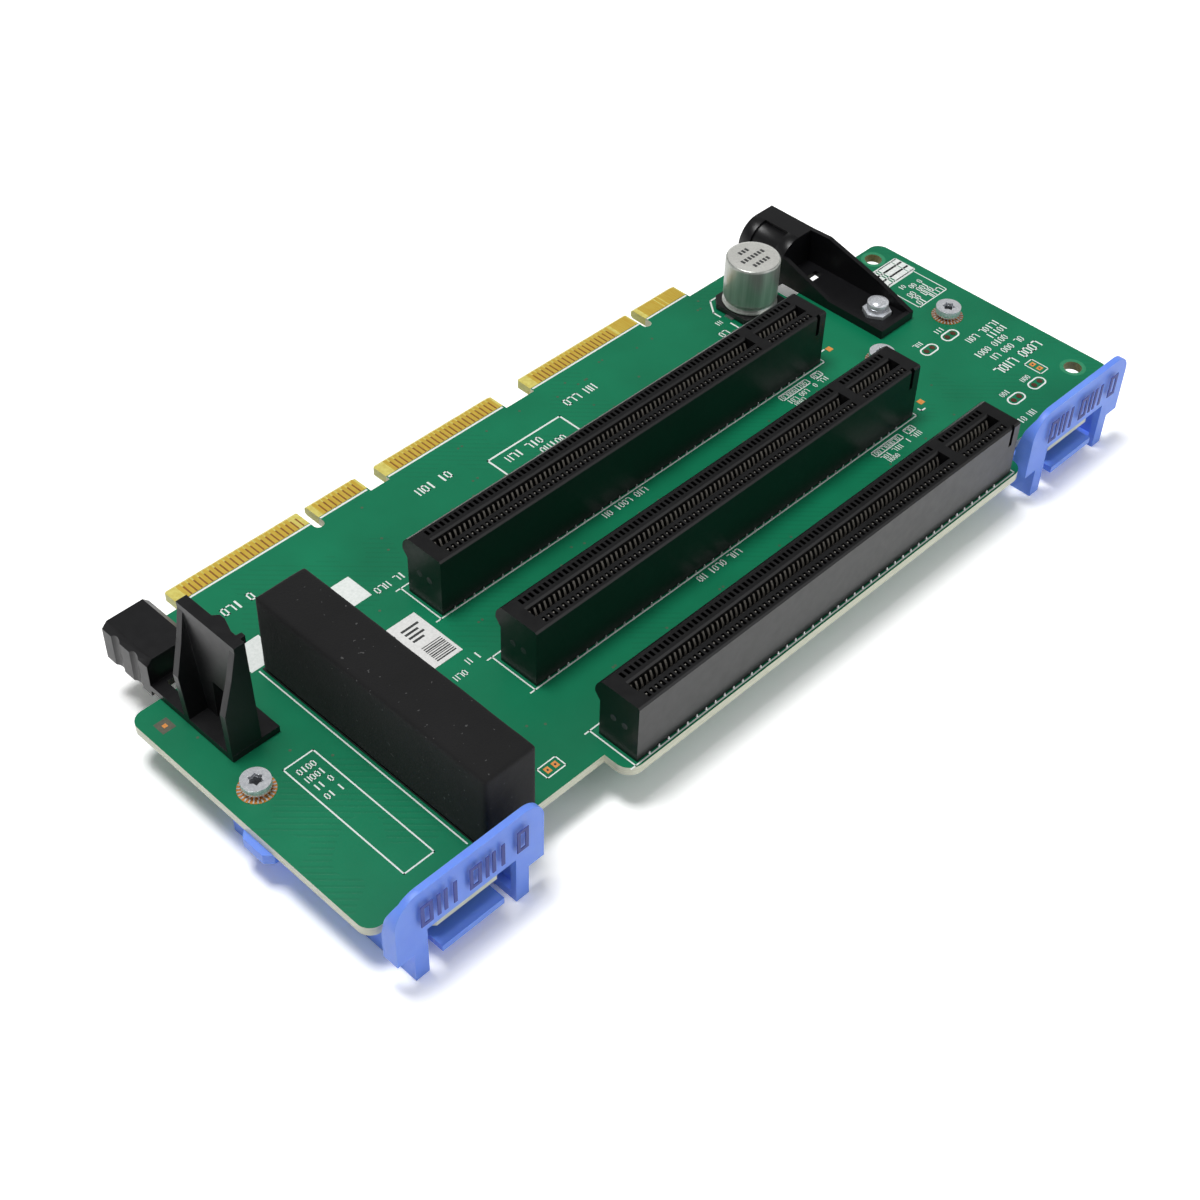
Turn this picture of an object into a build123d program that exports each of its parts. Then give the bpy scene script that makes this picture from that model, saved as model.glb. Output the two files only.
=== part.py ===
from build123d import *
import math
import os

# A server riser card lying flat: a circuit board with three long card slots, an edge connector
# of gold fingers, a foam block, a can capacitor, two black guides and two blue lift handles.
# Millimetres. X runs along the slots, Y towards the gold fingers and Z up. While the card is
# drawn, x = 0 and y = 0 are at the rear left corner of the rear slot and z = 0 is the board's
# top face. At the end all pieces move together, so that the origin is below the card's middle.

# Card slots
slot_count = 3
slot_pitch = 20.32
slot_length = 89.0
slot_width = 7.5
slot_height = 11.0
slot_edge_chamfer = 0.3
lip_reach = 1.0
lip_drop = 2.7
lip_height = 4.0
card_gap = 1.9
card_gap_depth = 7.5
card_gap_lead_in = 0.3
gap_end_wall = 2.35
key_bridge_x = 74.5
key_bridge_width = 1.9
contact_pitch = 1.0
first_contact_x = 3.0
long_contacts = 71
first_short_contact_x = 76.0
short_contacts = 11
window_length = 0.55
window_width = 1.1
window_depth = 2.0
window_wall = 0.65
notch_width = 0.8
notch_depth = 0.5
notch_height = 4.0

# Circuit board
board_thickness = 1.6
board_left_margin = 46.3
board_right_margin = 35.9
board_corner = 2.3
apron_margin = 0.8
apron_depth = 4.94
apron_left_margin = 2.3
apron_right_margin = 3.1
apron_corner = 2.6
tongue_width = 13.9
tongue_depth = 4.3
tongue_corner = 1.5
ear_rear = 8.4
left_ear_width = 15.8
right_ear_width = 25.4
tab_root = 21.5
tab_length = 4.5
tab_corner = 0.5
tab_bevel_length = 0.5
tab_bevel_depth = 0.3
first_tab_inset = 3.5
first_tab_width = 37.9
first_key_offset = 26.8
first_gap = 4.0
middle_tab_width = 26.2
second_gap = 6.5
last_tab_width = 39.3
last_key_offset = 27.7
key_slot_width = 1.9
key_slot_depth = 5.6
mount_hole_radius = 1.6
mount_hole_inset = 4.8
rear_mount_hole_y = 5.6
front_mount_hole_setback = 4.9
hole_clearance = 0.2

# Gold fingers
finger_pitch = 1.0
finger_width = 0.7
finger_root_gap = 0.9
gold_thickness = 0.05
wide_pad_width = 4.0
bare_end_margin = 2.0
bare_key_margin = 1.0
bare_slim_margin = 0.35

# Foam block
foam_width = 9.5
foam_length = 48.0
foam_top = 15.0
foam_rear = 2.7
foam_to_slots = 16.9
foam_pocket_clearance = 0.4
tape_thickness = 0.2

# Can capacitor
can_x_from_slot_end = 3.6
can_y = 12.2
can_radius = 5.0
can_wall = 4.9
can_neck = 4.5
can_neck_bottom = 0.8
can_neck_top = 1.5
can_height = 9.4
base_size = 10.3
base_thickness = 1.0
base_chamfer = 1.8
lead_thickness = 0.2
lead_width = 1.8
lead_inner = 2.2
lead_reach = 0.5

# Left guide
left_guide_inset = 5.7
left_guide_width = 8.4
left_guide_front = -8.6
left_guide_nose_front = 10.5
left_guide_nose_rear = 21.4
left_guide_base = 1.2
fin_height = 20.0
fin_depth = 5.2
fin_back = 1.9
fin_rib = 1.2
fin_foot_rear = 2.3
fin_top_front = -7.7
fin_top_rear = 5.1
fin_window_front = -6.0
fin_window_rear = -1.0
fin_window_top = 8.4
fin_tab_height = 1.5
fin_tab_reach = 0.9
fin_side_height = 9.0
fin_shoulder_drop = 5.5
fin_shoulder_step = 1.3
fin_tip_height = 1.0
wide_tab_ys = (-4.8, -2.3, -1.2, -0.5)
slim_tab_ys = (-6.8, -6.7, -5.9, -5.8)
guide_window_length = 4.0
guide_window_width = 2.5
guide_window_setback = 1.0
nose_height = 6.0
nose_drop = 1.0
nose_corner = 1.0
groove_radius = 1.6
groove_depth = 0.4
groove_pitch = 4.4

# Snap hooks that hold both guides to the board
hook_width = 2.4
hook_thickness = 1.2
hook_reach = 0.5
hook_drop = 1.4
hook_slot_clearance = 0.15
right_hook_y = 4.2

# Right guide
right_guide_x = 13.0
right_guide_width = 8.9
right_guide_front = -10.7
right_guide_nose_front = 13.2
right_guide_rear = 23.4
right_guide_floor = 1.0
right_guide_wall = 0.9
low_wall_height = 1.7
left_wall_rise_start = 1.6
left_wall_rise_end = 12.1
left_wall_height = 5.3
right_wall_height = 7.7
right_wall_knee_y = -2.7
right_wall_knee_height = 4.6
right_wall_peak_y = 9.0
right_nose_height = 7.5
right_nose_radius = 4.5
nose_recess_depth = 0.6
nose_recess_margin = 2.3
floor_window_front = 8.2
floor_window_rear = 9.9
floor_window_width = 2.8
stud_y = -5.6
stud_from_left = 5.0
stud_flats = 4.6
stud_recess_clearance = 0.3
stud_flange_height = 1.4
stud_head_radius = 1.9
stud_height = 3.0

# Lift handles
left_handle_inset = 13.45
right_handle_inset = 19.3
plate_thickness = 1.1
plate_left = 13.35
plate_right = 13.25
plate_top = 9.8
plate_left_corner = 4.5
plate_right_corner = 3.5
ear_drop = 2.3
opening_half_width = 8.0
opening_top = 1.2
leg_width = 2.4
foot_drop = 8.1
flange_wall = 1.2
flange_depth = 1.7
flange_square_top = 2.8
flange_slope_top = 6.6
flange_slope_step = 0.8
flange_tip_drop = 1.0
handle_base = 1.8
side_wall = 1.2
foot_rail_height = 1.6
web_thickness = 1.2
web_setback = 9.7
base_rear = -20.0
ledge_left = 6.1
ledge_right = 5.2
ledge_top_drop = 3.9
ledge_thickness = 1.2
ledge_overhang = 0.6
boss_half = 3.3
boss_corner = 1.2
left_boss_offset = -8.35
right_boss_offset = 10.7
screw_y = -14.5
tab_y = -21.0
tab_reach = 4.15

# Handle screws
screw_radius = 1.25
screw_head_radius = 2.25
screw_head_height = 2.0
screw_length = 6.0
star_outer = 1.2
star_inner = 0.85
star_depth = 0.6
bore_clearance = 0.05
bore_depth = 5.0

# Small pads and the label
pad_thickness = 0.05
oval_pad = 0.7
oval_pad_gap = 0.9
box_pad_width = 1.1
box_pad_length = 0.9
box_pad_gap = 0.6
right_oval_inset = 13.0
left_oval_inset = 19.0
rear_oval_setback = 25.6
front_oval_setback = 6.7
left_box_gap = 9.3
left_box_setback = 3.6
right_box_inset = 9.25
right_box_setback = 9.55
slot_pad_gap = 4.2
slot_pad_inset = 1.4
mark_inset = 3.0
mark_setback = 4.7
label_thickness = 0.1
label_width = 9.8
label_length = 10.9
label_rear = -4.0
label_to_slots = 2.65

# Places that several pieces share
board_left = -board_left_margin
board_right = slot_length + board_right_margin
front_slot_face = -(slot_count - 1) * slot_pitch - slot_width
apron_front = front_slot_face - apron_margin
board_front = apron_front + apron_depth
tongue_front = board_front - tongue_depth
left_handle_x = board_left + left_handle_inset
right_handle_x = board_right - right_handle_inset
handle_centres = (left_handle_x, right_handle_x)
tab_tip = tab_root + tab_length
mount_hole_x = board_right - mount_hole_inset
front_mount_hole_y = board_front + front_mount_hole_setback
left_guide_x = board_left + left_guide_inset
right_guide_left = slot_length + right_guide_x
right_guide_right = right_guide_left + right_guide_width
stud_x = right_guide_left + stud_from_left
hook_places = (
    (left_guide_x + left_guide_width / 2, (left_guide_front + fin_foot_rear) / 2),
    (left_guide_x + left_guide_width / 2, (fin_foot_rear + ear_rear) / 2),
    (stud_x, right_hook_y),
)
slot_middle = -slot_width / 2
oval_xs = (board_right - right_oval_inset, board_right - left_oval_inset)
oval_ys = (board_front + rear_oval_setback, board_front + front_oval_setback)
box_places = (
    (-left_box_gap, board_front + left_box_setback),
    (board_right - right_box_inset, board_front + right_box_setback),
)


def block(x0, x1, y0, y1, z0, z1):
    """A box between two values on each axis."""
    middle = Pos((x0 + x1) / 2, (y0 + y1) / 2, (z0 + z1) / 2)
    return middle * Box(x1 - x0, y1 - y0, z1 - z0)


def area(x0, x1, y0, y1):
    """A flat rectangle between two values on each axis."""
    return Pos((x0 + x1) / 2, (y0 + y1) / 2) * Rectangle(x1 - x0, y1 - y0)


def soft_area(x0, x1, y0, y1, radius):
    """A flat rectangle with round corners."""
    return Pos((x0 + x1) / 2, (y0 + y1) / 2) * RectangleRounded(x1 - x0, y1 - y0, radius)


def cut_area(x0, x1, y0, y1, cut):
    """A flat rectangle with the two corners at its y1 end cut off."""
    return outline((x0, y0), (x1, y0), (x1, y1 - cut), (x1 - cut, y1), (x0 + cut, y1), (x0, y1 - cut))


def pin(x, y, z0, z1, radius):
    """An upright round pin."""
    return Pos(x, y, (z0 + z1) / 2) * Cylinder(radius, z1 - z0)


def along_x(profile, x0, x1):
    """A profile drawn in Y and Z, run from x0 to x1."""
    return extrude(Plane.YZ.offset(x0) * profile, amount=x1 - x0, dir=(1, 0, 0))


def along_y(profile, y0, y1):
    """A profile drawn in X and Z, run from y0 to y1."""
    return extrude(Plane.XZ.offset(-y0) * profile, amount=y1 - y0, dir=(0, 1, 0))


def along_z(profile, z0, z1):
    """A profile drawn in X and Y, run from z0 to z1."""
    return extrude(Pos(0, 0, z0) * profile, amount=z1 - z0, dir=(0, 0, 1))


def outline(*points):
    """A flat shape with straight sides through the points."""
    return Polygon(*points, align=None)


def group(pieces):
    """Separate solids that share one node."""
    return Compound([piece.solid() for piece in pieces])


# Edge tabs

def tab_groups():
    """Left end, right end and key slot centre of each tab; the middle one has no key slot."""
    first = board_left + left_ear_width + first_tab_inset
    middle = first + first_tab_width + first_gap
    last = middle + middle_tab_width + second_gap
    return (
        (first, first + first_tab_width, first + first_key_offset),
        (middle, middle + middle_tab_width, None),
        (last, last + last_tab_width, last + last_key_offset),
    )


def finger_row(x0, x1):
    """As many fingers of one pitch as fit between x0 and x1, from the left."""
    count = int((x1 - x0 + finger_pitch - finger_width) / finger_pitch + 1e-6)
    return [(x0 + i * finger_pitch, x0 + i * finger_pitch + finger_width) for i in range(count)]


def finger_spans():
    """The X span of every gold pad on one side of the edge connector."""
    first, middle, last = tab_groups()
    half_key = key_slot_width / 2
    pad_gap = finger_pitch - finger_width
    spans = finger_row(first[0] + bare_end_margin, first[2] - half_key - bare_end_margin)
    spans += finger_row(first[2] + half_key + bare_key_margin, first[1] - bare_slim_margin)
    spans += finger_row(middle[0] + bare_end_margin, middle[1] - bare_slim_margin)
    wide_left = last[2] - half_key - bare_slim_margin - wide_pad_width
    spans += finger_row(last[0] + bare_end_margin, wide_left - pad_gap)
    spans.append((wide_left, wide_left + wide_pad_width))
    x = last[2] + half_key + bare_key_margin
    last_width = last[1] - x - wide_pad_width - finger_pitch - pad_gap - bare_slim_margin
    for width in (wide_pad_width, finger_width, last_width):
        spans.append((x, x + width))
        x += width + pad_gap
    return spans


def fingers(side):
    """The gold pads of one side: side 1 lies on the top face, side -1 under the board."""
    root = tab_root + finger_root_gap
    tip = tab_tip - tab_bevel_length
    bottom = 0 if side > 0 else -board_thickness - gold_thickness
    return group([block(x0, x1, root, tip, bottom, bottom + gold_thickness) for x0, x1 in finger_spans()])


# Circuit board

def board_outline():
    """The board seen from above, without its holes."""
    left_shoulder = board_left + left_ear_width
    right_shoulder = board_right - right_ear_width
    plan = soft_area(board_left, board_right, board_front, ear_rear, board_corner)
    plan += area(left_shoulder, right_shoulder, board_front, tab_root)
    plan += soft_area(-apron_left_margin, slot_length + apron_right_margin,
                      apron_front, board_front + 2 * apron_corner, apron_corner)
    for x in handle_centres:
        half = tongue_width / 2
        tongue = cut_area(-half, half, 0, tongue_depth, tongue_corner)
        plan += Pos(x, board_front) * Rot(0, 0, 180) * tongue
    for left, right, key in tab_groups():
        plan += cut_area(left, right, tab_root, tab_tip, tab_corner)
        if key is not None:
            half = key_slot_width / 2
            bottom = tab_tip - key_slot_depth + half
            plan -= area(key - half, key + half, bottom, tab_tip)
            plan -= Pos(key, bottom) * Circle(half)
    return plan


def circuit_board():
    """The laminate: outline, bevelled tab tips and every hole."""
    board = along_z(board_outline(), -board_thickness, 0)
    bevel_start = tab_tip - tab_bevel_length
    top_bevel = outline((tab_tip, 0), (bevel_start, 0), (tab_tip, -tab_bevel_depth))
    under = -board_thickness
    under_bevel = outline((tab_tip, under), (bevel_start, under), (tab_tip, under + tab_bevel_depth))
    board -= along_x(top_bevel, board_left, board_right)
    board -= along_x(under_bevel, board_left, board_right)
    holes = [(mount_hole_x, y, mount_hole_radius) for y in (rear_mount_hole_y, front_mount_hole_y)]
    holes += [(x, screw_y, screw_radius + hole_clearance) for x in screw_xs()]
    holes.append((stud_x, stud_y, screw_radius + hole_clearance))
    board -= [pin(x, y, under, 0, radius) for x, y, radius in holes]
    board -= [hook_slot(x, y) for x, y in hook_places]
    return board


# Card slots

def slot_profile():
    """The housing's end view, with the curved lip along its rear top edge."""
    top = slot_height
    lip_y = lip_reach
    lip_z = top - lip_drop
    body = Polyline(
        (lip_y, lip_z),
        (0, top - lip_height),
        (0, 0),
        (-slot_width, 0),
        (-slot_width, top - slot_edge_chamfer),
        (-slot_width + slot_edge_chamfer, top),
        (-slot_edge_chamfer, top),
    )
    lean = math.radians(35)
    bulge = (lip_y - (lip_y + slot_edge_chamfer) * (1 - math.cos(lean)), lip_z + lip_drop * math.sin(lean))
    return make_face(body + ThreePointArc((lip_y, lip_z), bulge, (-slot_edge_chamfer, top)))


def card_gap_cut(x0, x1):
    """One length of the gap that a card goes into, with its sloped lead-in."""
    half = card_gap / 2
    top = slot_height
    gap = block(x0, x1, slot_middle - half, slot_middle + half, top - card_gap_depth, top)
    wide = half + card_gap_lead_in
    low = top - card_gap_lead_in
    funnel = outline((slot_middle - wide, top), (slot_middle - half, low),
                     (slot_middle + half, low), (slot_middle + wide, top))
    return gap + along_x(funnel, x0, x1)


def contact_xs():
    """Places of the contacts along the slot, on both sides of the key bridge."""
    long_row = [first_contact_x + i * contact_pitch for i in range(long_contacts)]
    short_row = [first_short_contact_x + i * contact_pitch for i in range(short_contacts)]
    return long_row + short_row


def contact_windows():
    """The row of windows over the rear contacts, upright at the back and sloped in front."""
    front = slot_middle + card_gap / 2 + card_gap_lead_in + window_wall
    rear = front + window_width
    top = slot_height
    half = window_length / 2
    wedge = along_x(outline((front, top), (rear, top), (rear, top - window_depth)), -half, half)
    return [Pos(x, 0, 0) * wedge for x in contact_xs()]


def slot_housing():
    """One card slot moulding, with its lip, card gap, contact windows and notch."""
    housing = along_x(slot_profile(), 0, slot_length)
    half_bridge = key_bridge_width / 2
    housing -= card_gap_cut(gap_end_wall, key_bridge_x - half_bridge)
    housing -= card_gap_cut(key_bridge_x + half_bridge, slot_length - gap_end_wall)
    notch_x = slot_length - gap_end_wall
    housing -= block(notch_x, notch_x + notch_width, -slot_width, -slot_width + notch_depth,
                     slot_height - notch_height, slot_height)
    return housing - contact_windows()


# Foam block

def foam_plan():
    """The foam and its tape seen from above, open over the screw that they hide."""
    right = -foam_to_slots
    pocket_x = left_handle_x + right_boss_offset
    pocket_half = screw_head_radius + foam_pocket_clearance
    plan = area(right - foam_width, right, foam_rear - foam_length, foam_rear)
    pocket = Pos(pocket_x, screw_y) * Rectangle(2 * pocket_half, 2 * pocket_half)
    return plan, pocket


def foam_tape():
    """The double sided tape that holds the foam to the board."""
    plan, pocket = foam_plan()
    return along_z(plan - pocket, 0, tape_thickness)


def foam_block():
    """The soft block, with a pocket over the screw that it hides."""
    plan, pocket = foam_plan()
    pocket_top = screw_head_height + foam_pocket_clearance
    return along_z(plan, tape_thickness, foam_top) - along_z(pocket, tape_thickness, pocket_top)


# Capacitor

def can_x():
    """The capacitor's axis."""
    return slot_length + can_x_from_slot_end


def capacitor_can():
    """The drawn can: sloped bottom rim, crimped neck and straight wall."""
    bottom = lead_thickness + base_thickness
    top = bottom + can_height
    profile = outline(
        (0, bottom),
        (can_radius, bottom),
        (can_neck, bottom + can_neck_bottom),
        (can_wall, bottom + can_neck_top),
        (can_wall, top),
        (0, top),
    )
    return Pos(can_x(), can_y, 0) * revolve(Plane.XZ * profile, Axis.Z)


def capacitor_base():
    """The square base plate, chamfered at the two corners of its left side."""
    half = base_size / 2
    plan = outline(
        (-half + base_chamfer, -half), (half, -half), (half, half),
        (-half + base_chamfer, half), (-half, half - base_chamfer), (-half, -half + base_chamfer),
    )
    return Pos(can_x(), can_y, 0) * along_z(plan, lead_thickness, lead_thickness + base_thickness)


def capacitor_feet():
    """Two flat leads that run out from under the base."""
    reach = base_size / 2 + lead_reach
    rear = can_y + lead_width / 2
    front = can_y - lead_width / 2
    feet = [
        block(can_x() - reach, can_x() - lead_inner, front, rear, 0, lead_thickness),
        block(can_x() + lead_inner, can_x() + reach, front, rear, 0, lead_thickness),
    ]
    return group(feet)


# Guides

def hook_slot(x, y):
    """The slot in the board that one snap hook goes through."""
    wide = hook_width / 2 + hook_slot_clearance
    long = hook_thickness / 2 + hook_slot_clearance
    return block(x - wide, x + wide, y - long, y + long, -board_thickness, 0)


def snap_hook(x, y):
    """A moulded leg through the board, with its barb against the underside."""
    rear = y + hook_thickness / 2
    front = y - hook_thickness / 2
    under = -board_thickness
    tip = under - hook_drop
    side_view = outline((front, 0), (front, tip), (rear, tip),
                        (rear + hook_reach, under), (rear, under), (rear, 0))
    return along_x(side_view, x - hook_width / 2, x + hook_width / 2)


def left_fin():
    """The upright fin: a back plate with a window between two sloped ribs, and two top tabs."""
    left = left_guide_x
    right = left + fin_depth
    back = right - fin_back
    side_view = outline((left_guide_front, 0), (fin_foot_rear, 0), (fin_top_rear, fin_height),
                        (fin_top_front, fin_height))
    front_view = outline((left, 0), (right, 0), (right, fin_height), (back, fin_height),
                         (back, fin_height - fin_tip_height),
                         (back - fin_shoulder_step, fin_height - fin_shoulder_drop), (left, fin_side_height))
    fin = along_x(side_view, left, right) & along_y(front_view, left_guide_front, fin_top_rear)
    pocket = outline((left_guide_front + fin_rib, 0), (fin_foot_rear - fin_rib, 0),
                     (fin_top_rear - fin_rib, fin_height), (fin_top_front + fin_rib, fin_height))
    fin -= along_x(pocket, left, back)
    fin -= block(back, right, fin_window_front, fin_window_rear, left_guide_base, fin_window_top)
    tip = right + fin_tab_reach
    for ys in (wide_tab_ys, slim_tab_ys):
        tab = outline((right, ys[0]), (tip, ys[1]), (tip, ys[2]), (right, ys[3]))
        fin += along_z(tab, fin_height - fin_tab_height, fin_height)
    return fin


def left_guide():
    """The left guide: base plate, solid nose with two side grooves, fin and two snap hooks."""
    left = left_guide_x
    right = left + left_guide_width
    guide = block(left, right, left_guide_front, left_guide_nose_front, 0, left_guide_base)
    window_x = (left + right) / 2
    window_rear = left_guide_nose_front - guide_window_setback
    guide -= block(window_x - guide_window_length / 2, window_x + guide_window_length / 2,
                   window_rear - guide_window_width, window_rear, 0, left_guide_base)
    end_view = cut_area(left, right, -nose_drop, nose_height, nose_corner)
    nose = along_y(end_view, left_guide_nose_front, left_guide_nose_rear)
    nose_middle = (left_guide_nose_front + left_guide_nose_rear) / 2
    for y in (nose_middle - groove_pitch / 2, nose_middle + groove_pitch / 2):
        nose -= pin(left - groove_radius + groove_depth, y, -nose_drop, nose_height, groove_radius)
    guide += nose + left_fin()
    for x, y in hook_places[:2]:
        guide += snap_hook(x, y)
    return guide


def right_nose():
    """The solid end of the right guide, rounded over on the slots' side, with a shallow recess."""
    left = right_guide_left
    right = right_guide_right
    radius = right_nose_radius
    shoulder = right_nose_height - radius
    diagonal = radius * math.sqrt(0.5)
    straight = Polyline((left, shoulder), (left, -nose_drop), (right, -nose_drop),
                        (right, right_nose_height), (left + radius, right_nose_height))
    round_over = ThreePointArc(
        (left, shoulder),
        (left + radius - diagonal, shoulder + diagonal),
        (left + radius, right_nose_height),
    )
    nose = along_y(make_face(straight + round_over), right_guide_nose_front, right_guide_rear)
    recess_front = right_guide_nose_front + nose_recess_margin
    recess_rear = right_guide_rear - nose_recess_margin
    floor_of_recess = Pos(left + radius, shoulder) * Circle(radius - nose_recess_depth)
    sunk = along_y(floor_of_recess, recess_front, recess_rear)
    skin = block(left, left + radius, recess_front, recess_rear, shoulder, right_nose_height)
    return nose - (skin - sunk)


def right_guide():
    """The right guide: a trough with sloped walls, its nose, the stud's recess and one snap hook."""
    left = right_guide_left
    right = right_guide_right
    front = right_guide_front
    rear = right_guide_nose_front
    guide = block(left, right, front, rear, 0, right_guide_floor)
    left_wall = outline((front, 0), (front, low_wall_height), (left_wall_rise_start, low_wall_height),
                        (left_wall_rise_end, left_wall_height), (rear, left_wall_height), (rear, 0))
    right_wall = outline((front, 0), (front, low_wall_height), (right_wall_knee_y, right_wall_knee_height),
                         (right_wall_peak_y, right_wall_height), (rear, right_nose_height), (rear, 0))
    guide += along_x(left_wall, left, left + right_guide_wall)
    guide += along_x(right_wall, right - right_guide_wall, right)
    guide += block(left, right, front, front + right_guide_wall, 0, low_wall_height)
    guide += right_nose()
    across_flats = stud_flats + 2 * stud_recess_clearance
    recess = Pos(stud_x, stud_y) * RegularPolygon(across_flats / 2, 6, major_radius=False)
    guide -= along_z(recess, 0, right_guide_floor)
    window_half = floor_window_width / 2
    guide -= block(stud_x - window_half, stud_x + window_half, floor_window_front, floor_window_rear,
                   0, right_guide_floor)
    return guide + snap_hook(*hook_places[2])


def guide_stud():
    """The stud in the right guide: hexagon flange, round head and a shank through the board."""
    stud = along_z(RegularPolygon(stud_flats / 2, 6, major_radius=False), 0, stud_flange_height)
    stud += pin(0, 0, stud_flange_height, stud_height, stud_head_radius)
    stud += pin(0, 0, -board_thickness, 0, screw_radius)
    return Pos(stud_x, stud_y, 0) * stud


# Lift handles

def screw_xs():
    """The four handle screws, two for each handle."""
    return [x + offset for x in handle_centres for offset in (left_boss_offset, right_boss_offset)]


def plate_outline():
    """The front plate seen from the front, about the handle's own middle."""
    leg = opening_half_width + leg_width
    half = opening_half_width
    points = [
        (-plate_left, -ear_drop), (-leg, -ear_drop), (-leg, -foot_drop), (-half, -foot_drop),
        (-half, opening_top), (half, opening_top), (half, -foot_drop), (leg, -foot_drop),
        (leg, -ear_drop), (plate_right, -ear_drop), (plate_right, plate_top), (-plate_left, plate_top),
    ]
    radii = [0] * (len(points) - 2) + [plate_right_corner, plate_left_corner]
    return make_face(FilletPolyline(*points, radius=radii, close=True))


def boss_plan(x):
    """One screw boss seen from above, with its rear corners cut."""
    return cut_area(x - boss_half, x + boss_half, screw_y - boss_half, screw_y + boss_half, boss_corner)


def handle_base_plan():
    """The plate under the board: a field between the side walls, two bosses and a side tab."""
    leg = opening_half_width + leg_width
    plan = area(-leg, leg, tongue_front + web_setback - web_thickness, base_rear)
    for x in (left_boss_offset, right_boss_offset):
        plan += area(x - boss_half, x + boss_half, base_rear - boss_half, screw_y)
        plan += boss_plan(x)
    left = -leg - tab_reach
    front = tab_y - boss_half
    rear = tab_y + boss_half
    cut = boss_corner
    plan += outline((-leg, front), (left + cut, front), (left, front + cut),
                    (left, rear - cut), (left + cut, rear), (-leg, rear))
    return plan


def lift_handle():
    """One handle moulding, about its own middle in X."""
    under = -board_thickness
    plate_front = tongue_front - plate_thickness
    plate_face = plate_outline()
    handle = along_y(plate_face, plate_front, tongue_front)

    # Edge flange that returns along the left side of the plate
    corner = area(-plate_left, -plate_left + plate_left_corner, -ear_drop, plate_top)
    band = (plate_face - Pos(flange_wall, 0) * plate_face) & corner
    flange_rear = tongue_front + flange_depth
    flange_side = outline((tongue_front, -ear_drop), (flange_rear, -ear_drop),
                          (flange_rear, flange_square_top),
                          (flange_rear - flange_slope_step, flange_slope_top),
                          (tongue_front, plate_top - flange_tip_drop))
    handle += along_y(band, tongue_front, flange_rear) & along_x(flange_side, -plate_left, 0)

    # Base plate under the board, side walls and foot rails
    handle += along_z(handle_base_plan(), under - handle_base, under)
    leg = opening_half_width + leg_width
    for side in (-1, 1):
        outer = side * leg
        wall = sorted((outer, outer - side * side_wall))
        rail = sorted((outer, outer - side * leg_width))
        handle += block(*wall, tongue_front, base_rear, -foot_drop, under)
        handle += block(*rail, tongue_front, base_rear, -foot_drop, -foot_drop + foot_rail_height)

    # Cross web, and the ledge that the fingers pull on
    web_rear = tongue_front + web_setback
    handle += block(-leg, leg, web_rear - web_thickness, web_rear, -foot_drop, under)
    handle += block(-ledge_left, ledge_right, plate_front - ledge_overhang, web_rear,
                    -ledge_top_drop - ledge_thickness, -ledge_top_drop)

    # Bosses, each with the bore that its screw bites in
    for x in (left_boss_offset, right_boss_offset):
        handle += along_z(boss_plan(x), -foot_drop, under)
        handle -= pin(x, screw_y, under - bore_depth, under, screw_radius + bore_clearance)
    return handle


def star_outline():
    """Six points of a star drive recess."""
    turn = math.pi / 6
    reach = (star_outer, star_inner)
    tips = [(reach[i % 2], i * turn) for i in range(12)]
    return outline(*[(r * math.cos(angle), r * math.sin(angle)) for r, angle in tips])


def handle_screw(x):
    """One screw: star recess, round head that slopes down into the board's hole, and plain shank."""
    seat_radius = screw_radius + hole_clearance
    profile = outline(
        (0, -screw_length),
        (screw_radius, -screw_length),
        (screw_radius, screw_radius - seat_radius),
        (screw_head_radius, screw_head_radius - seat_radius),
        (screw_head_radius, screw_head_height),
        (0, screw_head_height),
    )
    screw = revolve(Plane.XZ * profile, Axis.Z)
    screw -= along_z(star_outline(), screw_head_height - star_depth, screw_head_height)
    return Pos(x, screw_y, 0) * screw


# Small pads and the label

def component_pads():
    """Bare solder pads: four small ovals, two boxes, one pad beside each of two slots, one mark."""
    pads = []
    oval_half = (oval_pad_gap + oval_pad) / 2
    for y in oval_ys:
        for x in oval_xs:
            for dx in (-oval_half, oval_half):
                pads.append(pad(x + dx, y, oval_pad, oval_pad))
    box_half = (box_pad_gap + box_pad_length) / 2
    for x, y in box_places:
        for dy in (-box_half, box_half):
            pads.append(pad(x, y + dy, box_pad_width, box_pad_length))
    for k in range(slot_count - 1):
        y = -k * slot_pitch - slot_width + slot_pad_inset
        pads.append(pad(slot_length + slot_pad_gap, y, box_pad_width, box_pad_width))
    pads.append(pad(board_left + mark_inset, ear_rear - mark_setback, oval_pad, oval_pad))
    return group(pads)


def pad(x, y, width, length):
    """One flat pad on the board's top face."""
    return block(x - width / 2, x + width / 2, y - length / 2, y + length / 2, 0, pad_thickness)


def code_label():
    """The small white label left of the rear slots."""
    right = -label_to_slots
    return block(right - label_width, right, label_rear - label_length, label_rear, 0, label_thickness)


# All pieces

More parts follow.
